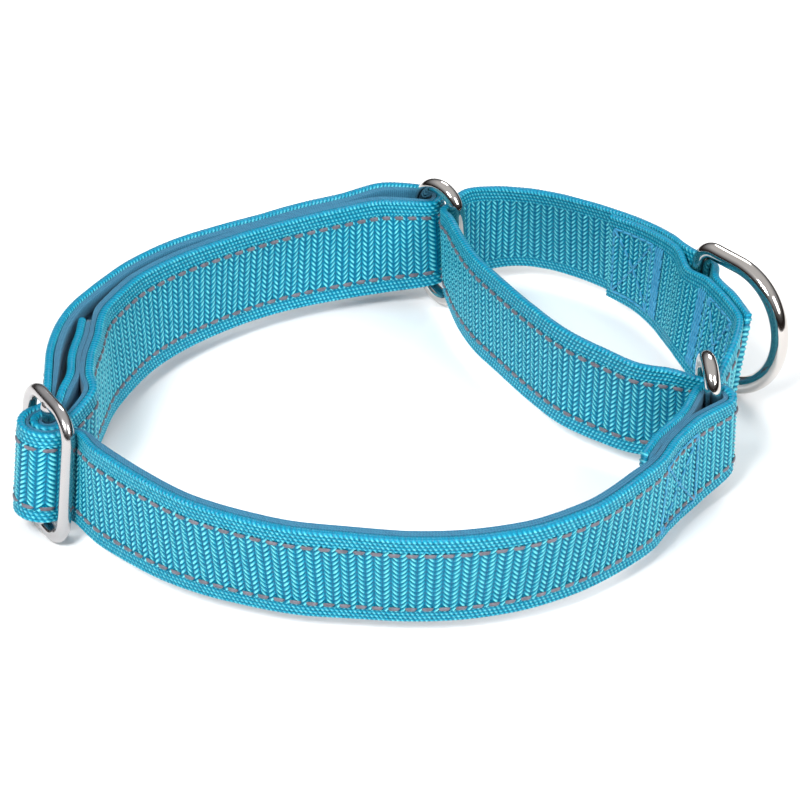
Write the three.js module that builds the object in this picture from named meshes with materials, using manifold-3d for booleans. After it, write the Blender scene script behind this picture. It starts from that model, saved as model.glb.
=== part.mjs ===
// A martingale dog collar standing on edge: a padded webbing strap with a slide to set its size, two oval rings, and a
// control loop between the rings that carries the leash ring. Millimetres, +Z up, the webbing's width upright.
import * as THREE from "three";
import { mergeVertices } from "three/addons/utils/BufferGeometryUtils.js";
import Module from "manifold-3d";

const wasm = await Module();
wasm.setup();

// Webbing and padding
const WEBBING_WIDTH = 25;
const WEBBING_THICKNESS = 1.75;
const PADDING_WIDTH = 23.4;
const GLUE_GAP = 0.05; // between the webbing and its padding
const SEWN_GAP = 0.15; // between two strap layers sewn together
const EDGE_HEIGHT = 4.09; // of the webbing's lower edge above the surface that the rings stand on

// Metal
const RING_WIRE = 3.5;
const RING_HEIGHT = 32.6; // outside
const RING_BAR_SPACING = 11; // between the axes of its two bars
const SLIDE_WIRE = 3.0;
const SLIDE_HEIGHT = 33.0;
const SLIDE_BAR_SPACING = 9.3; // from the middle bar to each outer bar
const SLIDE_CORNER = 5.5; // radius of the wire's centre line
const LEASH_WIRE = 4.0;
const LEASH_RING_HEIGHT = 33.2;
const LEASH_RING_DEPTH = 25; // from the bar's axis to the far side of the arc's centre line
const LEASH_RING_LIFT = 0.93; // its middle above the webbing's middle
const WIRE_SIDES = 10;

// Stitching
const STITCH_INSET = 4.3; // from the webbing's edge to a row's middle
const STITCH_WIDTH = 1.0;
const STITCH_THICKNESS = 0.12;
const STITCH_GAP = 0.03; // under the thread
const SEAM_INSET = 5.4; // from the webbing's edge to the end of a seam

// The middle of the collar's outline in plan, which becomes the part's origin
const PLAN_CENTRE = [2.01, -15.4];

// Bars in plan at the webbing's lower edge, with the lean of each: how far its top at WEBBING_WIDTH above is moved in X and Y
const SLIDE_BAR = { at: [-75.3, -46.5], lean: [2.2, 0.2], heading: [0.5, -0.866] };
const BACK_RING = { at: [6.1, 53.6], lean: [-1.0, 0], heading: [0.727, -0.687] };
const FRONT_RING = { at: [66.6, -30.9], lean: [-0.5, -5.3], heading: [-0.109, 0.994] };
const LEASH_BAR = { at: [64.5, 20.0], lean: [3.0, 0.3], heading: [0.713, -0.701] };

const FOLD_CLEARANCE = 0.6; // between a ring's wire and the fold round it
const SLIDE_CLEARANCE = 0.15;
const POCKET_CLEARANCE = 0.35; // round the leash ring's bar
const LOOP_SLACK = 0.3; // more room for the front ring in the control loop's tight turn
const PADDING_FULL = 1.5;
const PADDING_SQUEEZED = 0.9; // where the strap is folded round a ring
const PADDING_SEWN = 0.95; // where two layers are sewn together, back to back
const PADDING_IN_SLIDE = 0.55;
const RING_PINCH = 1.7; // how far each edge of the webbing draws in where it lies in a ring's round end
const SLIDE_PINCH = 1.6;
const RING_FOLD = RING_WIRE / 2 + FOLD_CLEARANCE + PADDING_SQUEEZED + GLUE_GAP;
const SLIDE_FOLD = SLIDE_WIRE / 2 + SLIDE_CLEARANCE + PADDING_IN_SLIDE + GLUE_GAP;
const SLIDE_PASS = SLIDE_FOLD + WEBBING_THICKNESS + 2 * GLUE_GAP + 2 * SEWN_GAP + PADDING_IN_SLIDE;
const SLIDE_TURN = SLIDE_BAR_SPACING - SLIDE_PASS; // from an outer bar's axis to the strap passing it
const LOOP_FOLD = RING_WIRE / 2 + FOLD_CLEARANCE + WEBBING_THICKNESS / 2;
const LAYER_PITCH = 2 * PADDING_SEWN + 2 * GLUE_GAP + 2 * SEWN_GAP;

const degrees = Math.PI / 180;

function along(bar, distance) {
  return [bar.at[0] + bar.heading[0] * distance, bar.at[1] + bar.heading[1] * distance];
}

// Rows of a route round a bar, from one angle to another, in steps of about 25 degrees.
function roundBar(centre, radius, from, to, lean, squeeze) {
  const steps = Math.max(1, Math.round(Math.abs(to - from) / 25));
  const rows = [];
  for (let i = 0; i <= steps; i++) {
    const angle = (from + ((to - from) * i) / steps) * degrees;
    const at = [centre[0] + radius * Math.cos(angle), centre[1] + radius * Math.sin(angle)];
    rows.push([...at, ...lean, squeeze]);
  }
  return rows;
}

// Stations of a strap: a smooth curve in plan through a route's rows of [x, y, lean x, lean y, squeeze], where squeeze
// gives the padding's thickness and how far the edges draw in.
function stations(rows, step = 4.5) {
  const place = new THREE.CatmullRomCurve3(rows.map(([x, y]) => new THREE.Vector3(x, y, 0)));
  const list = [];
  const last = rows.length - 1;
  const free = { padding: PADDING_FULL, pinch: 0 };
  for (let i = 0; i < last; i++) {
    const [x, y, leanX, leanY, squeeze = {}] = rows[i];
    const [nextX, nextY, nextLeanX, nextLeanY, nextSqueeze = {}] = rows[i + 1];
    const [here, next] = [{ ...free, ...squeeze }, { ...free, ...nextSqueeze }];
    const parts = Math.max(1, Math.round(Math.hypot(nextX - x, nextY - y) / step));
    for (let j = 0; j < parts + (i === last - 1 ? 1 : 0); j++) {
      const between = j / parts;
      const mix = (a, b) => a + (b - a) * between;
      const lean = [mix(leanX, nextLeanX), mix(leanY, nextLeanY)];
      const up = leaning(lean);
      const t = (i + between) / last;
      const normal = new THREE.Vector3().crossVectors(place.getTangent(t), up).normalize();
      const point = place.getPoint(t).setZ(EDGE_HEIGHT);
      const [padding, pinch] = [mix(here.padding, next.padding), mix(here.pinch, next.pinch)];
      list.push({ point, up, normal, lean, padding, pinch });
    }
  }
  return list;
}

// The direction up a strap's width where its upper edge is moved by lean.
function leaning([x, y]) {
  return new THREE.Vector3(x, y, Math.sqrt(WEBBING_WIDTH ** 2 - x ** 2 - y ** 2)).normalize();
}

// A band along the stations. Its section is a list of [across, off] points: across is from the webbing's lower edge, and off
// is along the face's normal, a distance or a function of the station that gives one.
function band(list, section) {
  const corners = [];
  for (const station of list) {
    const squeezed = (WEBBING_WIDTH - 2 * station.pinch) / WEBBING_WIDTH;
    for (const [across, off] of section) {
      const distance = typeof off === "function" ? off(station) : off;
      const corner = station.point.clone().addScaledVector(station.up, station.pinch + across * squeezed);
      corners.push(corner.addScaledVector(station.normal, distance));
    }
  }
  const sides = section.length;
  const index = [];
  const end = corners.length - sides;
  for (let k = 1; k < sides - 1; k++) {
    index.push(0, k, k + 1, end, end + k + 1, end + k);
  }
  for (let i = 0; i < end; i += sides) {
    for (let side = 0; side < sides; side++) {
      const [a, b] = [i + side, i + ((side + 1) % sides)];
      const [c, d] = [a + sides, b + sides];
      const climbs = section[(side + 1) % sides][0] >= section[side][0];
      index.push(...(climbs ? [a, c, d, a, d, b] : [a, c, b, b, c, d]));
    }
  }
  return new THREE.BufferGeometry().setFromPoints(corners).setIndex(index);
}

// A band's plain section: from low to high across, and from near to far off the face.
function slab(low, high, near, far) {
  return [[low, near], [low, far], [high, far], [high, near]];
}

// A closed wire of round section along a closed flat outline of [across, up] points.
function wireLoop(outline, wire, sides = WIRE_SIDES) {
  const count = outline.length;
  const points = [];
  const index = [];
  for (let i = 0; i < count; i++) {
    const [x, z] = outline[i];
    const before = outline[(i + count - 1) % count];
    const after = outline[(i + 1) % count];
    const run = new THREE.Vector2(after[0] - before[0], after[1] - before[1]).normalize();
    for (let k = 0; k < sides; k++) {
      const angle = ((k + 0.5) * 2 * Math.PI) / sides;
      const out = (wire / 2) * Math.cos(angle);
      const side = (wire / 2) * Math.sin(angle);
      points.push(new THREE.Vector3(x + run.y * out, side, z - run.x * out));
      const a = i * sides + k;
      const b = i * sides + ((k + 1) % sides);
      const c = ((i + 1) % count) * sides + k;
      const d = ((i + 1) % count) * sides + ((k + 1) % sides);
      index.push(a, b, d, a, d, c);
    }
  }
  return new THREE.BufferGeometry().setFromPoints(points).setIndex(index);
}

// Outline of a rounded rectangle's centre line, anticlockwise, from x = 0 to width and z = 0 to height.
function roundedOutline(width, height, radius, cornerSteps) {
  const corners = [
    [width - radius, radius, -90],
    [width - radius, height - radius, 0],
    [radius, height - radius, 90],
    [radius, radius, 180],
  ];
  const outline = [];
  for (const [x, z, start] of corners) {
    for (let i = 0; i <= cornerSteps; i++) {
      const angle = (start + (90 * i) / cornerSteps) * degrees;
      const point = [x + radius * Math.cos(angle), z + radius * Math.sin(angle)];
      const last = outline[outline.length - 1];
      if (!last || Math.hypot(point[0] - last[0], point[1] - last[1]) > 0.01) outline.push(point);
    }
  }
  const [first, last] = [outline[0], outline[outline.length - 1]];
  if (Math.hypot(first[0] - last[0], first[1] - last[1]) < 0.01) outline.pop();
  return outline;
}

// Outline of a D: a straight bar at x = 0, two round corners, and an arc that bows out to depth.
function leashOutline(height, depth) {
  const corner = 3.5;
  const side = depth - height / 2;
  const outline = [];
  const arc = (x, z, radius, from, to, steps) => {
    for (let i = 0; i <= steps; i++) {
      const angle = (from + ((to - from) * i) / steps) * degrees;
      outline.push([x + radius * Math.cos(angle), z + radius * Math.sin(angle)]);
    }
  };
  arc(corner, corner, corner, 180, 270, 4);
  arc(side, height / 2, height / 2, -90, 90, 15);
  arc(corner, height - corner, corner, 90, 180, 4);
  return outline;
}

function toSolid(geometry) {
  const plain = geometry.index ? geometry.toNonIndexed() : geometry.clone();
  plain.deleteAttribute("normal");
  plain.deleteAttribute("uv");
  const merged = mergeVertices(plain);
  const vertProperties = merged.attributes.position.array;
  const triVerts = new Uint32Array(merged.index.array);
  return new wasm.Manifold(new wasm.Mesh({ numProp: 3, vertProperties, triVerts }));
}

function toGeometry(solid) {
  const mesh = solid.getMesh();
  const geometry = new THREE.BufferGeometry();
  geometry.setAttribute("position", new THREE.BufferAttribute(mesh.vertProperties, mesh.numProp));
  return geometry.setIndex(new THREE.BufferAttribute(mesh.triVerts, 1));
}

// The strap's route in plan, along the line between its webbing and its padding. The webbing is on the right of the run.
const inSlide = { padding: PADDING_IN_SLIDE, pinch: SLIDE_PINCH };
const inRing = { padding: PADDING_SQUEEZED, pinch: RING_PINCH };
const thin = { padding: 1.1 };
const sewn = { padding: PADDING_SEWN };

// From the slide up the inner layer of the back arm to the back ring
const innerArm = [
  [-67.0, -36, 1.4, 0, sewn],
  [-67.6, -30, 0.8, 0, sewn],
  [-67.3, -22, 0.3, 0, sewn],
  [-66.1, -13.5, 0.0, -0.1, sewn],
  [-65.0, -7.5, -1.0, 0.2, sewn],
  [-63.4, -2, -1.8, 0.5],
  [-57.8, 11.5, -1.2, 0.3],
  [-51.4, 21.2, 0.3, -0.4],
  [-42.5, 30.5, 1.5, -1.5],
  [-33.4, 37.6, 1.7, -2.2],
  [-24.0, 42.8, 1.4, -2.2],
  [-14.6, 46.5, 0.8, -1.7],
  [-5.2, 49.4, 0.2, -1.0],
];

// From the back ring down the outer layer of the back arm to the slide
const outerArm = [
  [-4.2, 56.4, 0.2, -1.4],
  [-13.8, 51.9, 0.8, -2.3],
  [-23.9, 48.0, 1.4, -3.0],
  [-33.2, 42.3, 1.6, -2.9],
  [-42.0, 36.2, 1.4, -2.0],
  [-51.4, 28.2, 0.8, -0.9],
  [-59.5, 17.7, -0.3, 0.2],
  [-65.1, 7.8, -0.7, 0.8],
  [-70.0, -1.0, -0.6, 0.2],
  [-72.9, -9.5, -0.2, 0.0],
  [-74.7, -20, 0.6, 0],
  [-75.0, -29, 1.2, 0, thin],
];

const frontArm = [
  [-61.6, -58.2, -0.8, -1.2],
  [-49.6, -69.6, -1.5, -2.2],
  [-41.0, -75.2, -2.2, -3.6],
  [-31.9, -79.3, -2.2, -4.6],
  [-20.8, -82.9, -1.6, -5.6],
  [-9.6, -84.2, -0.6, -6.4],
  [1.5, -85.2, 0.3, -6.9],
  [12.2, -84.6, 1.4, -6.9],
  [24.6, -81.2, 2.6, -6.6],
  [36.6, -74.4, 3.0, -5.6],
  [46.6, -65.4, 2.0, -4.2],
  [51.6, -59.4, 1.4, -4.0, sewn],
  [55.3, -52.4, 0.8, -4.0, sewn],
  [61.9, -42.3, -0.3, -4.8, sewn],
];

const slidePoint = SLIDE_BAR.at;
const slideNear = along(SLIDE_BAR, SLIDE_BAR_SPACING);
const slideFar = along(SLIDE_BAR, -SLIDE_BAR_SPACING);
const sewnLoop = roundBar(slidePoint, SLIDE_FOLD, 85, 350, SLIDE_BAR.lean, inSlide);
const backFold = roundBar(BACK_RING.at, RING_FOLD, -60, 90, BACK_RING.lean, inRing);
const farTurn = roundBar(slideFar, SLIDE_TURN, 0, -50, SLIDE_BAR.lean, inSlide);
const slidePass = roundBar(slidePoint, SLIDE_PASS, 140, 280, SLIDE_BAR.lean, inSlide);
const nearTurn = roundBar(slideNear, SLIDE_TURN, 110, 50, SLIDE_BAR.lean, inSlide);
const frontFold = roundBar(FRONT_RING.at, RING_FOLD, -30, 130, FRONT_RING.lean, inRing);

// A sewn end lies along the layer that it is sewn to: the same rows, moved aside.
function sewnAlong(rows, aside) {
  return stations(rows, 100).map(({ point, normal, lean }, i) => {
    const flat = Math.hypot(normal.x, normal.y);
    const at = [point.x + (normal.x / flat) * aside, point.y + (normal.y / flat) * aside];
    return [...at, ...lean, rows[i][4]];
  });
}

const slideEnd = sewnAlong(innerArm.slice(0, 5), -LAYER_PITCH).reverse();
const frontEnd = sewnAlong(frontArm.slice(-3), -LAYER_PITCH).reverse();

const strapRoute = [
  ...slideEnd.slice(0, 4),
  [-71.6, -36.2, 1.4, 0, thin],
  [-73.2, -41.3, 2.0, 0.1, inSlide],
  ...sewnLoop,
  [-70.4, -42.6, 2.0, 0.1, inSlide],
  ...innerArm,
  ...backFold,
  ...outerArm,
  ...farTurn,
  ...slidePass,
  ...nearTurn,
  ...frontArm,
  ...frontFold,
  ...frontEnd,
];

// The control loop's route, along the middle of its webbing, from its inner sewn end round both rings to its outer sewn end.
// The two ends are sewn to each other, with a pocket between them for the leash ring's bar.
const LOOP_PITCH = WEBBING_THICKNESS + 3 * SEWN_GAP;
const POCKET = LEASH_WIRE / 2 + POCKET_CLEARANCE + WEBBING_THICKNESS / 2;
const inPocket = { pinch: 1.8 };
const pocketSide = [0.915, 0.404]; // from the inner end to the outer end, in plan
const pocketAt = (aside) => LEASH_BAR.at.map((value, i) => value + pocketSide[i] * aside);
const innerEnd = [
  [48.5, 47.6, -0.2, -5.8],
  [54.0, 41.0, 0.3, -4.6],
  [57.9, 33.4, 1.4, -2.8],
  [60.2, 26.4, 2.4, -1.0],
];
const innerEndFar = [
  [65.0, 11.0, 3.2, 0.5],
  [67.9, 3.6, 3.4, 0.4],
  [70.8, -5.0, 3.2, -0.6],
];
const outerEnd = sewnAlong(innerEnd, -LOOP_PITCH);
const outerEndFar = sewnAlong(innerEndFar, -LOOP_PITCH);
const loopRingFront = along(FRONT_RING, RING_BAR_SPACING);
const loopRingBack = along(BACK_RING, RING_BAR_SPACING);
const loopRoute = [
  ...innerEnd,
  [...pocketAt(-POCKET), ...LEASH_BAR.lean, inPocket],
  ...innerEndFar,
  [70.6, -12.6, 1.6, -3.2],
  ...roundBar(loopRingFront, LOOP_FOLD + LOOP_SLACK, 0, -90, FRONT_RING.lean, { pinch: 2.4 }),
  [58.0, -23.4, -0.4, -4.6],
  [50.4, -21.8, 0.2, -4.2],
  [43.5, -17.2, 0.6, -3.2],
  [35.7, -10.2, 0.2, -1.9],
  [28.9, 0.2, -0.4, -1.0],
  [22.6, 11.8, -0.6, -0.9],
  [17.3, 22.0, -0.5, -0.6],
  [14.1, 31.4, -0.5, -0.2],
  [12.2, 40.0, -0.8, 0],
  ...roundBar(loopRingBack, LOOP_FOLD, 180, 140, BACK_RING.lean, inRing),
  [15.4, 55.2, -0.2, -2.2],
  [20.4, 60.0, 0.2, -5.2],
  [27.4, 62.2, 0.1, -7.2],
  [34.4, 60.8, -0.6, -7.4],
  [42.4, 56.0, -0.8, -6.8],
  ...outerEnd,
  [...pocketAt(POCKET), ...LEASH_BAR.lean, inPocket],
  ...outerEndFar,
];

const collar = new THREE.Group();
const onPlan = new THREE.Group();
onPlan.position.set(-PLAN_CENTRE[0], -PLAN_CENTRE[1], 0);
collar.add(onPlan);

function add(name, geometry, colour, roughness, metalness, group = onPlan) {
  const material = new THREE.MeshStandardMaterial({ color: colour, roughness, metalness });
  const mesh = new THREE.Mesh(geometry, material);
  mesh.name = name;
  group.add(mesh);
  return mesh;
}

const TURQUOISE = 0x26a9c9;
const PADDING_BLUE = 0x3a93c4;
const THREAD_GREY = 0x7d7a87;
const SEAM_BLUE = 0x3a9fc4;
const NICKEL = 0xc9c8c6;

// Main strap: webbing, its padding, and the two rows of reflective stitching that hold them together
const strap = stations(strapRoute);
const face = GLUE_GAP + WEBBING_THICKNESS;
const paddingEdges = [(WEBBING_WIDTH - PADDING_WIDTH) / 2, (WEBBING_WIDTH + PADDING_WIDTH) / 2];
const stitchRows = { lower: STITCH_INSET, upper: WEBBING_WIDTH - STITCH_INSET };
const threadEdges = Object.values(stitchRows).flatMap((row) => [row - STITCH_WIDTH / 2, row + STITCH_WIDTH / 2]);

// Corners lie along the webbing's faces wherever the padding's or a thread's edge does, so that they fit each other.
const webbingSection = [
  [0, GLUE_GAP],
  ...[0, ...threadEdges, WEBBING_WIDTH].map((across) => [across, face]),
  ...[WEBBING_WIDTH, ...paddingEdges.toReversed()].map((across) => [across, GLUE_GAP]),
];
add("main_webbing", band(strap, webbingSection), TURQUOISE, 0.7, 0);
const paddingBack = (station) => -GLUE_GAP - station.padding;
add("main_padding", band(strap, slab(...paddingEdges, paddingBack, -GLUE_GAP)), PADDING_BLUE, 0.8, 0);
for (const [row, middle] of Object.entries(stitchRows)) {
  const edges = [middle - STITCH_WIDTH / 2, middle + STITCH_WIDTH / 2];
  const thread = slab(...edges, face + STITCH_GAP, face + STITCH_GAP + STITCH_THICKNESS);
  add(`strap_stitching_${row}`, band(strap, thread), THREAD_GREY, 0.5, 0);
}

// Control loop: one ply of the same webbing, stitched on its outer face
const loop = stations(loopRoute);
const halfPly = WEBBING_THICKNESS / 2;
const loopSection = [
  ...[WEBBING_WIDTH, ...threadEdges.toReversed(), 0].map((across) => [across, -halfPly]),
  [0, halfPly],
  [WEBBING_WIDTH, halfPly],
];
add("control_loop_webbing", band(loop, loopSection), TURQUOISE, 0.7, 0);
for (const [row, middle] of Object.entries(stitchRows)) {
  const edges = [middle - STITCH_WIDTH / 2, middle + STITCH_WIDTH / 2];
  const thread = slab(...edges, -halfPly - STITCH_GAP - STITCH_THICKNESS, -halfPly - STITCH_GAP);
  add(`loop_stitching_${row}`, band(loop, thread), THREAD_GREY, 0.5, 0);
}

// Seams across the width that hold the sewn ends down, each on the face of the layer nearest to its point
function seamOn(list, [x, y], near) {
  const gaps = list.map(({ point }) => Math.hypot(point.x - x, point.y - y));
  const first = Math.min(gaps.indexOf(Math.min(...gaps)), list.length - 2);
  const section = slab(SEAM_INSET, WEBBING_WIDTH - SEAM_INSET, near, near + STITCH_THICKNESS);
  return band(list.slice(first, first + 2), section);
}

const onStrap = face + STITCH_GAP;
const insideLoop = halfPly + STITCH_GAP;
const outsideLoop = -halfPly - STITCH_GAP - STITCH_THICKNESS;
const seams = [
  ["front_fold_seam_near", strap, [60.4, -45.8], onStrap],
  ["front_fold_seam_far", strap, [54.4, -55.4], onStrap],
  ["slide_end_seam", strap, [-67.6, -26], onStrap],
  ["loop_end_seam_inner", loop, innerEnd[0], insideLoop],
  ["pocket_seam_near", loop, innerEnd[2], insideLoop],
  ["pocket_seam_far", loop, innerEndFar[0], insideLoop],
  ["loop_end_seam_outer", loop, outerEndFar[1], outsideLoop],
];
for (const [name, list, point, near] of seams) {
  add(name, seamOn(list, point, near), SEAM_BLUE, 0.6, 0);
}

// A ring's frame: its own X along the heading, its own Z up the leaning bar.
function placed(mesh, bar, height, lift = 0) {
  const up = new THREE.Vector3(bar.lean[0], bar.lean[1], 0);
  up.z = Math.sqrt(WEBBING_WIDTH ** 2 - up.lengthSq());
  up.normalize();
  const heading = new THREE.Vector3(bar.heading[0], bar.heading[1], 0);
  const side = new THREE.Vector3().crossVectors(up, heading).normalize();
  const across = new THREE.Vector3().crossVectors(side, up);
  mesh.quaternion.setFromRotationMatrix(new THREE.Matrix4().makeBasis(across, side, up));
  const middle = new THREE.Vector3(bar.at[0], bar.at[1], EDGE_HEIGHT).addScaledVector(up, WEBBING_WIDTH / 2);
  mesh.position.copy(middle).addScaledVector(up, lift - height / 2);
}

const ringRadius = RING_BAR_SPACING / 2;
const ringTall = RING_HEIGHT - RING_WIRE;
for (const [name, bar] of [["back_ring", BACK_RING], ["front_ring", FRONT_RING]]) {
  const outline = roundedOutline(RING_BAR_SPACING, ringTall, ringRadius, 7);
  placed(add(name, wireLoop(outline, RING_WIRE), NICKEL, 0.15, 1), bar, ringTall);
}

const leashTall = LEASH_RING_HEIGHT - LEASH_WIRE;
const leash = wireLoop(leashOutline(leashTall, LEASH_RING_DEPTH), LEASH_WIRE, 12);
placed(add("leash_ring", leash, NICKEL, 0.15, 1), LEASH_BAR, leashTall, LEASH_RING_LIFT);

// Slide: an oval frame with a middle bar
const slideTall = SLIDE_HEIGHT - SLIDE_WIRE;
const slideFrame = wireLoop(roundedOutline(2 * SLIDE_BAR_SPACING, slideTall, SLIDE_CORNER, 6), SLIDE_WIRE);
slideFrame.translate(-SLIDE_BAR_SPACING, 0, 0);
const middleBar = new THREE.CylinderGeometry(SLIDE_WIRE / 2, SLIDE_WIRE / 2, slideTall, WIRE_SIDES);
middleBar.rotateX(Math.PI / 2).translate(0, 0, slideTall / 2);
const slide = toGeometry(toSolid(slideFrame).add(toSolid(middleBar)));
placed(add("slide", slide, NICKEL, 0.15, 1), SLIDE_BAR, slideTall);

export default collar;
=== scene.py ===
# %% [markdown]
# # A martingale dog collar
# A martingale collar is one long padded strap with a slide that sets its size, closed by a short control
# loop. When the dog pulls, the leash ring draws the loop out and the strap closes a little round the neck.
# The CAD frame already knows where everything is. Here each soft or shiny piece gets its real surface:
# woven nylon, soft padding, reflective thread and bright nickel.

import math

import bpy
import numpy as np
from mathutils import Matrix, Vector


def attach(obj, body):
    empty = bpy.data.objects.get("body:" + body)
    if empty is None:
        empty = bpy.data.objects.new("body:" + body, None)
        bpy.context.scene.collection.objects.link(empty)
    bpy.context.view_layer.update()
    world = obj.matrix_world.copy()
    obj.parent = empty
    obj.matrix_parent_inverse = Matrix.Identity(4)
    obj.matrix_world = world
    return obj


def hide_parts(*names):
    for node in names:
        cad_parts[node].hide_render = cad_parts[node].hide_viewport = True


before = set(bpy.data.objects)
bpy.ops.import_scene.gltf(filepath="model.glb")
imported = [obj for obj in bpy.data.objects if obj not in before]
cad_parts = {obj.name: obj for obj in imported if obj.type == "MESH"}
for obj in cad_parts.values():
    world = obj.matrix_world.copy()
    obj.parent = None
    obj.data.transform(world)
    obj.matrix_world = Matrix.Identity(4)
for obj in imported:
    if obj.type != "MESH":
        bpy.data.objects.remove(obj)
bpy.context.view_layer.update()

# %% [markdown]
# Everything on this collar is measured in millimetres, so the sizes below are too, and they turn to metres
# in one place. The plan centre and the height of the webbing's lower edge are the same as in the CAD part.

# %% Sizes of the collar, in millimetres
MM = 0.001
PLAN_CENTRE = np.array([2.01, -15.4])
EDGE_HEIGHT = 4.09
WEBBING_WIDTH = 25.0
WEBBING_THICKNESS = 1.75
PADDING_EDGES = (0.8, 24.2)
GLUE_GAP = 0.05
PADDING_FULL = 1.5
PADDING_SQUEEZED = 0.9
PADDING_SEWN = 0.95
PADDING_IN_SLIDE = 0.55
RING_WIRE = 3.5
SLIDE_WIRE = 3.0
LEASH_WIRE = 4.0
STITCH_INSET = 4.3       # from the webbing's edge to the middle of a row of dashes
print("webbing", WEBBING_WIDTH, "mm wide and", WEBBING_THICKNESS, "mm thick")

# %% [markdown]
# ## The camera
# The collar stands on its edge, and the eye looks down on it from the front. A long lens from 850 mm away
# keeps the near and far sides nearly the same size, which is how small goods are usually shown.

# %% Camera
CAMERA_DISTANCE = 0.85
CAMERA_ELEVATION = math.radians(31)
SENSOR_WIDTH = 36
LENS = 172.125
target = Vector((-PLAN_CENTRE[0] * MM, -PLAN_CENTRE[1] * MM, EDGE_HEIGHT * MM))
camera_data = bpy.data.cameras.new("camera")
camera_data.lens = LENS
camera_data.sensor_width = SENSOR_WIDTH
camera = bpy.data.objects.new("camera", camera_data)
away = Vector((0, -math.cos(CAMERA_ELEVATION), math.sin(CAMERA_ELEVATION)))
camera.location = target + away * CAMERA_DISTANCE
camera.rotation_euler = (math.pi / 2 - CAMERA_ELEVATION, 0, 0)
bpy.context.collection.objects.link(camera)
bpy.context.scene.camera = camera
print("camera at", [round(v, 3) for v in camera.location])

# %% [markdown]
# ## Nodes and colours
# A material is a small graph of nodes. One function adds a node, sets its values and joins its inputs, so
# every material below reads as a list of steps. Colours are written as they would be picked on a screen,
# and one function turns them to the linear values that the renderer adds and multiplies.

# %% Helpers for materials
def linear(hex_colour):
    """A screen colour such as '#2bb3cf' as linear red, green, blue and alpha."""
    parts = [int(hex_colour[i:i + 2], 16) / 255 for i in (1, 3, 5)]
    return [v / 12.92 if v <= 0.04045 else ((v + 0.055) / 1.055) ** 2.4 for v in parts] + [1.0]


def add_node(tree, kind, settings=None, links=None):
    """A node of that kind, with its settings made and its inputs joined to other nodes' outputs."""
    node = tree.nodes.new(kind)
    for name, value in (settings or {}).items():
        if isinstance(name, int) or name in node.inputs:
            node.inputs[name].default_value = value
        else:
            setattr(node, name, value)
    for name, source in (links or {}).items():
        tree.links.new(source, node.inputs[name])
    return node


def new_material(name):
    """An empty material and its node tree."""
    material = bpy.data.materials.new(name)
    material.use_nodes = True
    material.node_tree.nodes.clear()
    return material, material.node_tree


def set_ramp(node, stops):
    """Gives a colour ramp its stops, as (position, screen colour)."""
    elements = node.color_ramp.elements
    while len(elements) < len(stops):
        elements.new(1.0)
    for element, (position, colour) in zip(elements, stops):
        element.position = position
        element.color = linear(colour)


print("mid turquoise in linear:", [round(v, 3) for v in linear("#2bb3cf")])

# %% [markdown]
# ## How the webbing is woven
# Nylon collar webbing is a flat narrow weave of thick, shiny multifilament yarn. Its face shows columns
# across the width, and in each column the yarn lies in short slanted floats. The slant turns in every
# second column, so two columns make a row of little V shapes. Outside the reflective thread the selvedge is
# denser and finer. The same height formula shapes the mesh, so that edges and shadows are real, drives the
# material's fine bump, and sets its colour: a painted highlight on the floats and painted shade in the
# valleys.

# %% Weave sizes, in millimetres
COLUMN = 1.63          # one column of floats
FLOAT = 1.3            # from one float to the next up the width
SLANT = 1.45           # rise of a float over its column, in floats
RELIEF = 0.62          # height of the floats above the valleys
SELVEDGE = 3.5         # dense woven edge
SELVEDGE_PITCH = 0.95
STITCH_PERIOD = 2 * COLUMN
CROWN = 0.6            # power of a column's rounding: 1 is round, less is squarer
FLOAT_BASE = 0.15      # height of the ground between floats
SELVEDGE_BASE = 0.25
SELVEDGE_RISE = 0.6
SELVEDGE_LEAN = 0.5    # how far the selvedge's yarns lean, in pitches for each millimetre up


def weave_height(along, across):
    """Height of the woven face from 0 in a valley to 1 on a float."""
    place = along / COLUMN
    column = np.floor(place)
    place = place - column - 0.5
    turn = 1 - np.mod(column, 2) * 2
    ridge = np.abs(np.cos(np.pi * (across / FLOAT + turn * SLANT * place)))
    body = np.cos(np.pi * place) ** CROWN * (FLOAT_BASE + (1 - FLOAT_BASE) * ridge)
    yarns = np.abs(np.cos(np.pi * (along / SELVEDGE_PITCH + SELVEDGE_LEAN * across)))
    edge = yarns * np.sqrt(np.abs(np.sin(np.pi * across)))
    inside = np.abs(across - WEBBING_WIDTH / 2) < WEBBING_WIDTH / 2 - SELVEDGE
    return np.where(inside, body, SELVEDGE_BASE + SELVEDGE_RISE * edge)


sample = weave_height(np.linspace(0, 19, 400), WEBBING_WIDTH / 2)
print("highest and mean of the weave:", round(float(sample.max()), 2), round(float(sample.mean()), 2))
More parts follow.
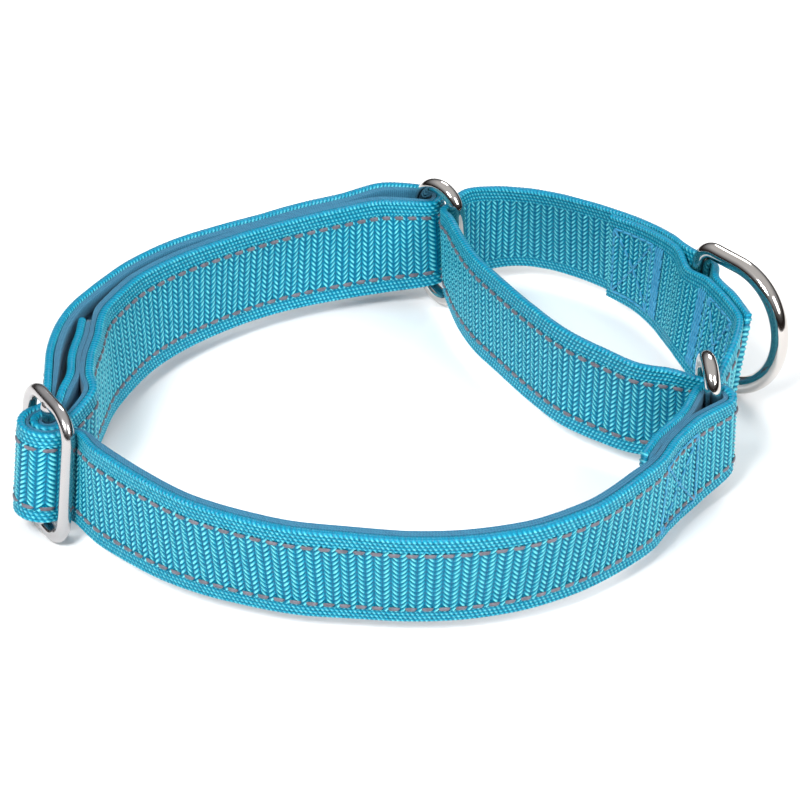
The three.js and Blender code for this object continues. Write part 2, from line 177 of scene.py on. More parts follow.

# %% [markdown]
# ## Woven nylon
# Solution-dyed nylon 6 yarn, woven tight and heat set. Each yarn is a bundle of smooth filaments, so it
# glints along its floats, and the colour adds to that: the floats are painted lighter as a painted highlight,
# and the valleys between them are painted darker and saturated as painted shade. An image of the weave could
# be mapped on instead, but an image has a fixed resolution, while here one formula both paints that light and
# shade into the colour and shapes the mesh. The pattern is worked out by the material from the strap's own
# millimetres, which its UV map holds, so the weave follows every fold.

# %% Woven nylon material
def woven_nylon(name, valley, middle, painted_crest_highlight):
    """Webbing in three screen colours: the valley colour is painted shade, the middle one the yarn's own
    turquoise, and the crest colour a painted highlight. Each step is a maths node: its result, operation and
    two operands.
    """
    material, tree = new_material(name)
    millimetres = add_node(tree, "ShaderNodeUVMap", {"uv_map": "strap_mm"})
    split = add_node(tree, "ShaderNodeSeparateXYZ", {}, {0: millimetres.outputs[0]})
    value = {"along": split.outputs[0], "across": split.outputs[1]}
    steps = [
        ("columns", "DIVIDE", "along", COLUMN), ("column", "FLOOR", "columns", 0),
        ("part", "FRACT", "columns", 0), ("place", "SUBTRACT", "part", 0.5),
        ("odd", "FLOORED_MODULO", "column", 2), ("twice", "MULTIPLY", "odd", -2),
        ("turn", "ADD", "twice", 1), ("lean", "MULTIPLY", "turn", "place"),
        ("rise", "MULTIPLY", "lean", SLANT),
        ("floats", "DIVIDE", "across", FLOAT), ("phase", "ADD", "floats", "rise"),
        ("wave", "MULTIPLY", "phase", math.pi), ("swing", "COSINE", "wave", 0),
        ("ridge", "ABSOLUTE", "swing", 0),
        ("sides", "MULTIPLY", "place", math.pi), ("round", "COSINE", "sides", 0),
        ("crown", "POWER", "round", CROWN),
        ("ridge_part", "MULTIPLY", "ridge", 1 - FLOAT_BASE), ("ridge_all", "ADD", "ridge_part", FLOAT_BASE),
        ("body", "MULTIPLY", "crown", "ridge_all"), ("edge_lean", "MULTIPLY", "across", SELVEDGE_LEAN),
        ("stitches", "DIVIDE", "along", SELVEDGE_PITCH), ("edge_phase", "ADD", "stitches", "edge_lean"),
        ("edge_wave", "MULTIPLY", "edge_phase", math.pi), ("edge_swing", "COSINE", "edge_wave", 0),
        ("edge_ridge", "ABSOLUTE", "edge_swing", 0), ("rows", "MULTIPLY", "across", math.pi),
        ("row_swing", "SINE", "rows", 0), ("row_ridge", "ABSOLUTE", "row_swing", 0),
        ("row_round", "POWER", "row_ridge", 0.5), ("edge_raw", "MULTIPLY", "edge_ridge", "row_round"),
        ("edge_part", "MULTIPLY", "edge_raw", SELVEDGE_RISE), ("edge", "ADD", "edge_part", SELVEDGE_BASE),
        ("from_middle", "SUBTRACT", "across", WEBBING_WIDTH / 2), ("reach", "ABSOLUTE", "from_middle", 0),
        ("is_edge", "GREATER_THAN", "reach", WEBBING_WIDTH / 2 - SELVEDGE),
        ("edge_less", "SUBTRACT", "edge", "body"), ("edge_share", "MULTIPLY", "edge_less", "is_edge"),
        ("height", "ADD", "body", "edge_share"),
    ]
    for result, operation, first, second in steps:
        links = {0: value[first]}
        settings = {"operation": operation}
        if isinstance(second, str):
            links[1] = value[second]
        else:
            settings[1] = float(second)
        value[result] = add_node(tree, "ShaderNodeMath", settings, links).outputs[0]
    on_strap = {"Vector": millimetres.outputs[0]}
    dye = add_node(tree, "ShaderNodeTexNoise", {"Scale": 0.8, "Detail": 4.0}, on_strap)
    drift = add_node(tree, "ShaderNodeMath", {"operation": "MULTIPLY_ADD", 1: 0.5, 2: -0.25},
                     {0: dye.outputs[0]})
    # Weave height plus a random dye drift. The ramp below turns the height into painted shade in the valleys
    # and a painted highlight on the floats.
    shade = add_node(tree, "ShaderNodeMath", {"operation": "ADD"},
                     {0: value["height"], 1: drift.outputs[0]})
    colour = add_node(tree, "ShaderNodeValToRGB", {}, {0: shade.outputs[0]})
    # Painted light: the valley stop is painted shade and the crest stop is a painted highlight.
    set_ramp(colour, [(0.2, valley), (0.62, middle), (1.0, painted_crest_highlight)])
    filaments = add_node(tree, "ShaderNodeTexNoise", {"Scale": 6.0, "Detail": 2.0}, on_strap)
    weave_bump = add_node(tree, "ShaderNodeBump", {"Strength": 0.8, "Distance": 0.4 * MM},
                          {"Height": value["height"]})
    yarn_bump = add_node(tree, "ShaderNodeBump", {"Strength": 0.25, "Distance": 0.08 * MM},
                         {"Height": filaments.outputs[0], "Normal": weave_bump.outputs[0]})
    shader = add_node(tree, "ShaderNodeBsdfPrincipled",
                      {"Roughness": 0.34, "Specular IOR Level": 0.25, "IOR": 1.53},
                      {"Base Color": colour.outputs[0], "Normal": yarn_bump.outputs[0]})
    add_node(tree, "ShaderNodeOutputMaterial", {}, {"Surface": shader.outputs[0]})
    return material


# The first colour is the painted valley shade, the middle one the yarn's turquoise, and the last the painted
# highlight on the float crests.
nylon = woven_nylon("turquoise_nylon_webbing", "#00688b", "#0096b6", "#7ae4ea")
print("woven nylon nodes:", len(nylon.node_tree.nodes))

# %% [markdown]
# ## Soft padding
# The lining is a thin soft foam with a brushed knit cover. It is darker and smoother than the webbing, with
# a fine knit that only shows close up, drawn here at 0.6 mm.

# %% Padding material
padding_cloth, tree = new_material("brushed_knit_padding")
millimetres = add_node(tree, "ShaderNodeUVMap", {"uv_map": "strap_mm"})
on_strap = {"Vector": millimetres.outputs[0]}
knit = add_node(tree, "ShaderNodeTexWave",
                {"wave_type": "BANDS", "bands_direction": "X",
                 "Scale": 0.55, "Distortion": 1.5, "Detail": 2.0}, on_strap)
nap = add_node(tree, "ShaderNodeTexNoise", {"Scale": 2.5, "Detail": 4.0}, on_strap)
mixed = add_node(tree, "ShaderNodeMath", {"operation": "MULTIPLY_ADD", 1: 0.35},
                 {0: knit.outputs[1], 2: nap.outputs[0]})
cloth_colour = add_node(tree, "ShaderNodeValToRGB", {}, {0: mixed.outputs[0]})
set_ramp(cloth_colour, [(0.3, "#155474"), (0.9, "#2c7593")])
cloth_bump = add_node(tree, "ShaderNodeBump", {"Strength": 0.35, "Distance": 0.12 * MM},
                      {"Height": mixed.outputs[0]})
cloth = add_node(tree, "ShaderNodeBsdfPrincipled",
                 {"Roughness": 0.75, "Sheen Weight": 0.12, "Sheen Roughness": 0.5},
                 {"Base Color": cloth_colour.outputs[0], "Normal": cloth_bump.outputs[0]})
add_node(tree, "ShaderNodeOutputMaterial", {}, {"Surface": cloth.outputs[0]})
print("padding nodes:", len(tree.nodes))

# %% [markdown]
# ## Threads
# The grey dashes are reflective thread: a flat film full of tiny glass beads, wound on polyester. By
# daylight it is a matt violet grey. The seams that hold the folds are plain turquoise polyester thread, a
# little bluer than the webbing.

# %% Thread materials
def thread(name, dark, light, roughness):
    """Twisted thread between two screen colours."""
    material, tree = new_material(name)
    place = add_node(tree, "ShaderNodeTexCoord")
    twist = add_node(tree, "ShaderNodeTexNoise", {"Scale": 900.0, "Detail": 3.0},
                     {"Vector": place.outputs["Object"]})
    colour = add_node(tree, "ShaderNodeValToRGB", {}, {0: twist.outputs[0]})
    set_ramp(colour, [(0.3, dark), (0.75, light)])
    bump = add_node(tree, "ShaderNodeBump", {"Strength": 0.4, "Distance": 0.1 * MM},
                    {"Height": twist.outputs[0]})
    shader = add_node(tree, "ShaderNodeBsdfPrincipled", {"Roughness": roughness, "Sheen Weight": 0.1},
                      {"Base Color": colour.outputs[0], "Normal": bump.outputs[0]})
    add_node(tree, "ShaderNodeOutputMaterial", {}, {"Surface": shader.outputs[0]})
    return material


reflective_thread = thread("reflective_grey_thread", "#55525c", "#74717c", 0.6)
seam_thread = thread("turquoise_polyester_thread", "#1f84b0", "#46a6cb", 0.6)
print("threads:", reflective_thread.name, seam_thread.name)

# %% [markdown]
# ## Bright nickel
# The rings are steel wire, bent, welded and nickel plated. The slide is taken to be cast and then plated,
# and its finish is a little less bright. Nickel is a slightly warm grey mirror, with faint polishing haze
# and small handling scuffs. One roughness value could do, but handled plate is not quite even, so one noise
# varies both the roughness and a very shallow bump.

# %% Nickel material
def plated(name, tint, haze_low, haze_high):
    """Nickel plate of that tint, with its roughness between two values."""
    material, tree = new_material(name)
    place = add_node(tree, "ShaderNodeTexCoord")
    scuffs = add_node(tree, "ShaderNodeTexNoise", {"Scale": 260.0, "Detail": 5.0},
                      {"Vector": place.outputs["Object"]})
    haze = add_node(tree, "ShaderNodeMapRange",
                    {"From Min": 0.35, "From Max": 0.75, "To Min": haze_low, "To Max": haze_high},
                    {"Value": scuffs.outputs[0]})
    waviness = add_node(tree, "ShaderNodeBump", {"Strength": 0.06, "Distance": 0.2 * MM},
                        {"Height": scuffs.outputs[0]})
    metal = add_node(tree, "ShaderNodeBsdfPrincipled", {"Base Color": linear(tint), "Metallic": 1.0},
                     {"Roughness": haze.outputs[0], "Normal": waviness.outputs[0]})
    add_node(tree, "ShaderNodeOutputMaterial", {}, {"Surface": metal.outputs[0]})
    return material


nickel = plated("bright_nickel_plate", "#c9c4c0", 0.06, 0.13)
satin_nickel = plated("cast_nickel_plate", "#b9b6b6", 0.14, 0.24)
print("metals:", nickel.name, satin_nickel.name)

# %% [markdown]
# ## The strap's route
# One continuous strap makes the whole collar: from its sewn end at the slide, round to the back ring, back
# over itself to the slide, through it, and across the front to the other ring, where its end folds back and
# is sewn down. The control loop is a second, shorter strap. Each row is a point in plan at the webbing's
# lower edge, then how far its upper edge leans. The curve through the rows is the same centripetal spline
# as in the CAD part.

# %% The curve through a route's rows
def spline(points, fractions):
    """Points and tangents at each fraction of each step of a centripetal spline.

    Both are arrays of (steps, fractions, 2).
    """
    points = np.asarray(points, float)
    before = 2 * points[0] - points[1]
    after = 2 * points[-1] - points[-2]
    all_points = np.vstack([before, points, after])
    p0, p1, p2, p3 = all_points[:-3], all_points[1:-2], all_points[2:-1], all_points[3:]
    gap = lambda a, b: np.linalg.norm(b - a, axis=1)[:, None] ** 0.5
    d0, d1, d2 = gap(p0, p1), gap(p1, p2), gap(p2, p3)
    t1 = ((p1 - p0) / d0 - (p2 - p0) / (d0 + d1) + (p2 - p1) / d1) * d1
    t2 = ((p2 - p1) / d1 - (p3 - p1) / (d1 + d2) + (p3 - p2) / d2) * d1
    c2 = -3 * p1 + 3 * p2 - 2 * t1 - t2
    c3 = 2 * p1 - 2 * p2 + t1 + t2
    f = np.asarray(fractions, float)[None, :, None]
    place = p1[:, None] + t1[:, None] * f + c2[:, None] * f ** 2 + c3[:, None] * f ** 3
    run = t1[:, None] + 2 * c2[:, None] * f + 3 * c3[:, None] * f ** 2
    return place, run


def along(bar, distance):
    """A point at that distance from a bar, in the direction that its frame points."""
    return np.array(bar["at"]) + np.array(bar["heading"]) * distance


DEGREES_A_ROW = 25


def round_bar(centre, radius, start, stop, lean, padding=PADDING_FULL, pinch=0.0):
    """Rows round a bar from one angle to another."""
    steps = max(1, math.floor(abs(stop - start) / DEGREES_A_ROW + 0.5))
    rows = []
    for angle in np.radians(np.linspace(start, stop, steps + 1)):
        x = centre[0] + radius * math.cos(angle)
        y = centre[1] + radius * math.sin(angle)
        rows.append([x, y, *lean, padding, pinch])
    return rows


def sewn_along(rows, aside):
    """Rows of an end that lies along the layer it is sewn to, moved aside."""
    place, run = spline([row[:2] for row in rows], [0.0001, 0.9999])
    tangents = np.vstack([run[:, 0], run[-1:, 1]])
    result = []
    for row, tangent in zip(rows, tangents):
        up = np.array([row[2], row[3], math.sqrt(WEBBING_WIDTH ** 2 - row[2] ** 2 - row[3] ** 2)])
        normal = np.cross([tangent[0], tangent[1], 0], up)
        flat = math.hypot(normal[0], normal[1])
        result.append([row[0] + normal[0] / flat * aside, row[1] + normal[1] / flat * aside, *row[2:]])
    return result


print("a quarter turn round a bar has", len(round_bar([0, 0], 5, 0, 90, [0, 0])), "rows")

# %% [markdown]
# The bars that the straps pass round stand nearly upright. Each has its place at the webbing's lower edge,
# its lean over 25 mm, and the direction in which the rest of its ring lies.

# %% Bars, folds and gaps, in millimetres
SLIDE_BAR = {"at": [-75.3, -46.5], "lean": [2.2, 0.2], "heading": [0.5, -0.866]}
BACK_RING = {"at": [6.1, 53.6], "lean": [-1.0, 0], "heading": [0.727, -0.687]}
FRONT_RING = {"at": [66.6, -30.9], "lean": [-0.5, -5.3], "heading": [-0.109, 0.994]}
LEASH_BAR = {"at": [64.5, 20.0], "lean": [3.0, 0.3], "heading": [0.713, -0.701]}
RING_BAR_SPACING = 11
SLIDE_BAR_SPACING = 9.3
FOLD_CLEARANCE = 0.6
SLIDE_CLEARANCE = 0.15
SEWN_GAP = 0.15
RING_PINCH = 1.7
SLIDE_PINCH = 1.6
RING_FOLD = RING_WIRE / 2 + FOLD_CLEARANCE + PADDING_SQUEEZED + GLUE_GAP
SLIDE_FOLD = SLIDE_WIRE / 2 + SLIDE_CLEARANCE + PADDING_IN_SLIDE + GLUE_GAP
SLIDE_PASS = SLIDE_FOLD + WEBBING_THICKNESS + 2 * GLUE_GAP + 2 * SEWN_GAP + PADDING_IN_SLIDE
SLIDE_TURN = SLIDE_BAR_SPACING - SLIDE_PASS
LOOP_FOLD = RING_WIRE / 2 + FOLD_CLEARANCE + WEBBING_THICKNESS / 2
LAYER_PITCH = 2 * PADDING_SEWN + 2 * GLUE_GAP + 2 * SEWN_GAP
LOOP_PITCH = WEBBING_THICKNESS + 3 * SEWN_GAP
LOOP_SLACK = 0.3
POCKET_CLEARANCE = 0.35
POCKET = LEASH_WIRE / 2 + POCKET_CLEARANCE + WEBBING_THICKNESS / 2
print("strap folds at", round(RING_FOLD, 2), "mm round a ring,", round(SLIDE_FOLD, 2), "mm round the slide")

# %% Main strap's rows: [x, y, lean x, lean y, padding, pinch]
FREE = [PADDING_FULL, 0.0]
THIN = [1.1, 0.0]        # on the way into the slide
SEWN = [PADDING_SEWN, 0.0]
IN_SLIDE = [PADDING_IN_SLIDE, SLIDE_PINCH]
IN_RING = [PADDING_SQUEEZED, RING_PINCH]
inner_arm = [
    [-67.0, -36, 1.4, 0, *SEWN],
    [-67.6, -30, 0.8, 0, *SEWN],
    [-67.3, -22, 0.3, 0, *SEWN],
    [-66.1, -13.5, 0.0, -0.1, *SEWN],
    [-65.0, -7.5, -1.0, 0.2, *SEWN],
    [-63.4, -2, -1.8, 0.5, *FREE],
    [-57.8, 11.5, -1.2, 0.3, *FREE],
    [-51.4, 21.2, 0.3, -0.4, *FREE],
    [-42.5, 30.5, 1.5, -1.5, *FREE],
    [-33.4, 37.6, 1.7, -2.2, *FREE],
    [-24.0, 42.8, 1.4, -2.2, *FREE],
    [-14.6, 46.5, 0.8, -1.7, *FREE],
    [-5.2, 49.4, 0.2, -1.0, *FREE],
]
outer_arm = [
    [-4.2, 56.4, 0.2, -1.4, *FREE],
    [-13.8, 51.9, 0.8, -2.3, *FREE],
    [-23.9, 48.0, 1.4, -3.0, *FREE],
    [-33.2, 42.3, 1.6, -2.9, *FREE],
    [-42.0, 36.2, 1.4, -2.0, *FREE],
    [-51.4, 28.2, 0.8, -0.9, *FREE],
    [-59.5, 17.7, -0.3, 0.2, *FREE],
    [-65.1, 7.8, -0.7, 0.8, *FREE],
    [-70.0, -1.0, -0.6, 0.2, *FREE],
    [-72.9, -9.5, -0.2, 0.0, *FREE],
    [-74.7, -20, 0.6, 0, *FREE],
    [-75.0, -29, 1.2, 0, *THIN],
]
front_arm = [
    [-61.6, -58.2, -0.8, -1.2, *FREE],
    [-49.6, -69.6, -1.5, -2.2, *FREE],
    [-41.0, -75.2, -2.2, -3.6, *FREE],
    [-31.9, -79.3, -2.2, -4.6, *FREE],
    [-20.8, -82.9, -1.6, -5.6, *FREE],
    [-9.6, -84.2, -0.6, -6.4, *FREE],
    [1.5, -85.2, 0.3, -6.9, *FREE],
    [12.2, -84.6, 1.4, -6.9, *FREE],
    [24.6, -81.2, 2.6, -6.6, *FREE],
    [36.6, -74.4, 3.0, -5.6, *FREE],
    [46.6, -65.4, 2.0, -4.2, *FREE],
    [51.6, -59.4, 1.4, -4.0, *SEWN],
    [55.3, -52.4, 0.8, -4.0, *SEWN],
    [61.9, -42.3, -0.3, -4.8, *SEWN],
]
slide_near = along(SLIDE_BAR, SLIDE_BAR_SPACING)
slide_far = along(SLIDE_BAR, -SLIDE_BAR_SPACING)
slide_lean = SLIDE_BAR["lean"]
sewn_loop = round_bar(SLIDE_BAR["at"], SLIDE_FOLD, 85, 350, slide_lean, *IN_SLIDE)
back_fold = round_bar(BACK_RING["at"], RING_FOLD, -60, 90, BACK_RING["lean"], *IN_RING)
far_turn = round_bar(slide_far, SLIDE_TURN, 0, -50, slide_lean, *IN_SLIDE)
slide_pass = round_bar(SLIDE_BAR["at"], SLIDE_PASS, 140, 280, slide_lean, *IN_SLIDE)
near_turn = round_bar(slide_near, SLIDE_TURN, 110, 50, slide_lean, *IN_SLIDE)
front_fold = round_bar(FRONT_RING["at"], RING_FOLD, -30, 130, FRONT_RING["lean"], *IN_RING)
slide_end = sewn_along(inner_arm[:5], -LAYER_PITCH)[::-1]
front_end = sewn_along(front_arm[-3:], -LAYER_PITCH)[::-1]
strap_rows = [
    *slide_end[:4],
    [-71.6, -36.2, 1.4, 0, *THIN],
    [-73.2, -41.3, 2.0, 0.1, *IN_SLIDE],
    *sewn_loop,
    [-70.4, -42.6, 2.0, 0.1, *IN_SLIDE],
    *inner_arm,
    *back_fold,
    *outer_arm,
    *far_turn,
    *slide_pass,
    *near_turn,
    *front_arm,
    *front_fold,
    *front_end,
]
print("main strap rows:", len(strap_rows))

# %% [markdown]
# The control loop is a single ply. Its two ends lie on each other and are sewn either side of a pocket for
# the leash ring's bar.

# %% Control loop's rows
IN_POCKET = [PADDING_FULL, 1.8]
IN_TIGHT_TURN = [PADDING_FULL, 2.4]
POCKET_SIDE = np.array([0.915, 0.404])


def pocket_at(aside):
    """A point beside the leash ring's bar, in plan."""
    return np.array(LEASH_BAR["at"]) + POCKET_SIDE * aside


inner_end = [
    [48.5, 47.6, -0.2, -5.8, *FREE],
    [54.0, 41.0, 0.3, -4.6, *FREE],
    [57.9, 33.4, 1.4, -2.8, *FREE],
    [60.2, 26.4, 2.4, -1.0, *FREE],
]
inner_end_far = [
    [65.0, 11.0, 3.2, 0.5, *FREE],
    [67.9, 3.6, 3.4, 0.4, *FREE],
    [70.8, -5.0, 3.2, -0.6, *FREE],
]
outer_end = sewn_along(inner_end, -LOOP_PITCH)
outer_end_far = sewn_along(inner_end_far, -LOOP_PITCH)
loop_ring_front = along(FRONT_RING, RING_BAR_SPACING)
loop_ring_back = along(BACK_RING, RING_BAR_SPACING)
loop_rows = [
    *inner_end,
    [*pocket_at(-POCKET), *LEASH_BAR["lean"], *IN_POCKET],
    *inner_end_far,
    [70.6, -12.6, 1.6, -3.2, *FREE],
    *round_bar(loop_ring_front, LOOP_FOLD + LOOP_SLACK, 0, -90, FRONT_RING["lean"], *IN_TIGHT_TURN),
    [58.0, -23.4, -0.4, -4.6, *FREE],
    [50.4, -21.8, 0.2, -4.2, *FREE],
    [43.5, -17.2, 0.6, -3.2, *FREE],
    [35.7, -10.2, 0.2, -1.9, *FREE],
    [28.9, 0.2, -0.4, -1.0, *FREE],
    [22.6, 11.8, -0.6, -0.9, *FREE],
    [17.3, 22.0, -0.5, -0.6, *FREE],
    [14.1, 31.4, -0.5, -0.2, *FREE],
    [12.2, 40.0, -0.8, 0, *FREE],
    *round_bar(loop_ring_back, LOOP_FOLD, 180, 140, BACK_RING["lean"], *IN_RING),
    [15.4, 55.2, -0.2, -2.2, *FREE],
    [20.4, 60.0, 0.2, -5.2, *FREE],
    [27.4, 62.2, 0.1, -7.2, *FREE],
    [34.4, 60.8, -0.6, -7.4, *FREE],
    [42.4, 56.0, -0.8, -6.8, *FREE],
    *outer_end,
    [*pocket_at(POCKET), *LEASH_BAR["lean"], *IN_POCKET],
    *outer_end_far,
]
print("control loop rows:", len(loop_rows))

# %% [markdown]
# ## From a route to a place on the strap
# Every soft piece is described on the strap itself: how far along, how far up the width, and how far off
# the face. One function turns those three numbers into a point in space, so the weave, the padding and
# every stitch bend together.

# %% Paths and places on them
PARTS = 24           # of the curve between two rows
EVEN_PLACES = 2400   # along the whole path, where lean, padding and pinch are kept
SMOOTHING = 4.0      # millimetres over which they are evened out


def make_path(rows):
    """A route measured along its length, with its lean, padding and pinch smoothed as real cloth would."""
    fractions = np.arange(PARTS) / PARTS
    place, run = spline([row[:2] for row in rows], fractions)
    xy = np.vstack([place.reshape(-1, 2), rows[-1][:2]])
    run = np.vstack([run.reshape(-1, 2), run[-1, -1:]])
    run /= np.linalg.norm(run, axis=1)[:, None]
    extras = np.array([row[2:] for row in rows], float)
    index = np.append((np.arange(len(rows) - 1)[:, None] + fractions).ravel(), len(rows) - 1)
    values = [np.interp(index, np.arange(len(rows)), column) for column in extras.T]
    length = np.concatenate([[0], np.cumsum(np.linalg.norm(np.diff(xy, axis=0), axis=1))])
    even = np.linspace(0, length[-1], EVEN_PLACES)
    window = int(SMOOTHING / (even[1] - even[0])) | 1
    soft = []
    for column in values:
        flat = np.interp(even, length, column)
        padded = np.pad(flat, window // 2, mode="edge")
        soft.append(np.convolve(padded, np.ones(window) / window, mode="valid"))
    return {"s": length, "x": xy[:, 0], "y": xy[:, 1], "run_x": run[:, 0], "run_y": run[:, 1],
            "even": even, "lean_x": soft[0], "lean_y": soft[1], "padding": soft[2], "pinch": soft[3],
            "length": length[-1],
            "starts": length[::PARTS]}


def lay(path, s, across, off):
    """Points in metres from millimetres along, across and off the strap. Arrays broadcast."""
    s, across, off = np.broadcast_arrays(s, across, off)
    read = lambda key: np.interp(s, path["s"], path[key])
    smooth = lambda key: np.interp(s, path["even"], path[key])
    lean_x, lean_y, pinch = smooth("lean_x"), smooth("lean_y"), smooth("pinch")
    upright = np.sqrt(WEBBING_WIDTH ** 2 - lean_x ** 2 - lean_y ** 2)
    up = np.stack([lean_x, lean_y, upright], -1) / WEBBING_WIDTH
    run = np.stack([read("run_x"), read("run_y"), np.zeros_like(pinch)], -1)
    normal = np.cross(run, up)
    normal /= np.linalg.norm(normal, axis=-1)[..., None]
    rise = pinch + across * (WEBBING_WIDTH - 2 * pinch) / WEBBING_WIDTH
    x, y = read("x") - PLAN_CENTRE[0], read("y") - PLAN_CENTRE[1]
    point = np.stack([x, y, np.full_like(pinch, EDGE_HEIGHT)], -1)
    return (point + up * rise[..., None] + normal * off[..., None]) * MM


strap = make_path(strap_rows)
loop = make_path(loop_rows)
print("strap length", round(strap["length"]), "mm, control loop length", round(loop["length"]), "mm")

# %% [markdown]
# ## A woven band
# A band is a closed tube of rings, one ring for each step along the strap. Its woven sides are pushed in
# and out by the weave's height, and its two cut ends are closed flat, as a hot knife leaves them. A flat
# strip with a thickness modifier and a bump would be shorter to write, but a bump leaves the outline
# smooth, and real webbing has a rough one.

# %% Mesh helpers
def mesh_piece(name, points, faces, material, uv=None):
    """A smooth mesh object from points in metres. uv holds the strap's millimetres for each point."""
    mesh = bpy.data.meshes.new(name)
    mesh.vertices.add(len(points))
    mesh.vertices.foreach_set("co", np.asarray(points, np.float32).ravel())
    corners = np.concatenate([np.asarray(group, np.int32).ravel() for group in faces])
    sizes = np.concatenate([np.full(len(group), np.asarray(group).shape[1], np.int32) for group in faces])
    starts = np.concatenate([[0], np.cumsum(sizes)[:-1]]).astype(np.int32)
    mesh.loops.add(len(corners))
    mesh.loops.foreach_set("vertex_index", corners)
    mesh.polygons.add(len(sizes))
    mesh.polygons.foreach_set("loop_start", starts)
    mesh.polygons.foreach_set("use_smooth", np.ones(len(sizes), bool))
    if uv is not None:
        layer = mesh.uv_layers.new(name="strap_mm")
        layer.data.foreach_set("uv", np.asarray(uv, np.float32)[corners].ravel())
    mesh.update(calc_edges=True)
    mesh.validate()
    mesh.materials.append(material)
    piece = bpy.data.objects.new(name, mesh)
    bpy.context.collection.objects.link(piece)
    return piece


def tube_faces(rings, sides, closed=False):
    """Quads between rings of points, and the two ends where the tube is open."""
    ring = np.arange(rings if closed else rings - 1)[:, None]
    side = np.arange(sides)[None, :]
    after, beside = (ring + 1) % rings, (side + 1) % sides
    here, next_ring = ring * sides, after * sides
    quads = np.stack([here + side, here + beside, next_ring + beside, next_ring + side], -1)
    faces = [quads.reshape(-1, 4)]
    if not closed:
        faces += [np.arange(sides)[None, ::-1], (np.arange(sides) + (rings - 1) * sides)[None, :]]
    return faces


STEPS_A_COLUMN = 5
FACE_START = 0.5       # from the webbing's edge to the first row of its flat face
FACE_ROWS = 97         # on a woven face
PLAIN_ROWS = 9         # on the face that the padding covers
EDGE_START = 0.45      # from the webbing's edge to the middle of its rounding
EDGE_REACH = 0.4
YARN_BULGE = 0.16      # a yarn that turns back at the edge stands out this much more
EDGE_ROUNDING = 0.9    # of the webbing's thickness
FACE_HEIGHT = 0.75     # the weave's height that lies on the webbing's nominal face


def woven_band(name, path, near, far, woven_near, material):
    """Webbing from near to far off the route, in millimetres, woven on its far side and perhaps its near."""
    steps = int(path["length"] / (COLUMN / STEPS_A_COLUMN))
    s = np.linspace(0, path["length"], steps)[:, None]
    reach = EDGE_REACH + YARN_BULGE * np.abs(np.cos(np.pi * s / SELVEDGE_PITCH))
    columns = []

    def face(level, outward, woven):
        rows = np.linspace(FACE_START, WEBBING_WIDTH - FACE_START, FACE_ROWS if woven else PLAIN_ROWS)
        for row in rows[::outward]:
            across = np.full_like(s, row)
            height = weave_height(s, across) - FACE_HEIGHT if woven else np.zeros_like(s)
            columns.append((across, level + outward * RELIEF * height))

    def edge(base, upward):
        for turn in (60, 20, -20, -60):
            angle = math.radians(turn)
            off = (near + far) / 2 + upward * (far - near) / 2 * EDGE_ROUNDING * math.sin(angle)
            columns.append((base + upward * reach * math.cos(angle), np.full_like(s, off)))

    face(far, 1, True)
    edge(WEBBING_WIDTH - EDGE_START, 1)
    face(near, -1, woven_near)
    edge(EDGE_START, -1)
    across = np.concatenate([column[0] for column in columns], axis=1)
    off = np.concatenate([column[1] for column in columns], axis=1)
    points = lay(path, s, across, off)
    uv = np.stack([np.broadcast_to(s, across.shape), across], -1).reshape(-1, 2)
    piece = mesh_piece(name, points.reshape(-1, 3), tube_faces(len(s), across.shape[1]), material, uv)
    print(name, "faces:", len(piece.data.polygons))
    return piece


# %% Webbing of the main strap and of the control loop
face_level = GLUE_GAP + WEBBING_THICKNESS
strap_webbing = woven_band("strap_webbing", strap, GLUE_GAP, face_level, False, nylon)
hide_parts("main_webbing")
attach(strap_webbing, "collar")
half_ply = WEBBING_THICKNESS / 2
loop_webbing = woven_band("loop_webbing", loop, -half_ply, half_ply, True, nylon)
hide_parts("control_loop_webbing")
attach(loop_webbing, "control_loop")

# %% [markdown]
# ## The padding
# The padding is folded knit over foam, and its edge shows the layers as three fine ribs. The two rows of
# thread pull it down into shallow channels. A cloth simulation could puff it up, but drawing its section
# and sweeping it along the strap sets the channels and the ribs directly.

# %% Padding of the main strap
PADDING_STEP = 1.2       # along the strap
SWELL = 0.15             # over the thickness of the CAD padding
CHANNEL_WIDTH, CHANNEL_DEPTH = 0.7, 0.18     # under each row of thread; the depth is a share of the thickness
ROUNDED_EDGE = 0.4
RIBS, RIB_BASE, RIB_REACH = 3, 0.1, 0.34
GLUED_ROWS, GLUED_OFF = 10, 0.02             # on the glued side; how far off it stands, as a share
low, high = PADDING_EDGES
steps = int(strap["length"] / PADDING_STEP)
s = np.linspace(0, strap["length"], steps)[:, None]
thickness = np.interp(s, strap["even"], strap["padding"]) + SWELL
back_rows = np.linspace(low + ROUNDED_EDGE, high - ROUNDED_EDGE, 6 * GLUED_ROWS)[None, :]
channel = sum(np.exp(-((back_rows - row) / CHANNEL_WIDTH) ** 2)
              for row in (STITCH_INSET, WEBBING_WIDTH - STITCH_INSET))
rib = np.linspace(0.08, 0.92, 19)[None, :]
rib_out = RIB_BASE + RIB_REACH * np.abs(np.sin(RIBS * np.pi * rib)) ** 0.7
across = np.concatenate([np.broadcast_to(rows, (steps, rows.shape[1])) for rows in (
    back_rows[:, ::-1], low - rib_out[:, ::-1], back_rows[:, ::6], high + rib_out)], axis=1)
off = -GLUE_GAP - np.concatenate([
    thickness * (1 - CHANNEL_DEPTH * channel[:, ::-1]),
    thickness * rib[:, ::-1],
    thickness * np.full((1, GLUED_ROWS), GLUED_OFF),
    thickness * rib,
], axis=1)
points = lay(strap, s, across, off).reshape(-1, 3)
uv = np.stack([np.broadcast_to(s, across.shape) - off, across], -1).reshape(-1, 2)
strap_padding = mesh_piece("strap_padding", points, tube_faces(steps, across.shape[1]), padding_cloth, uv)
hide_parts("main_padding")
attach(strap_padding, "collar")
print("padding faces:", len(strap_padding.data.polygons))

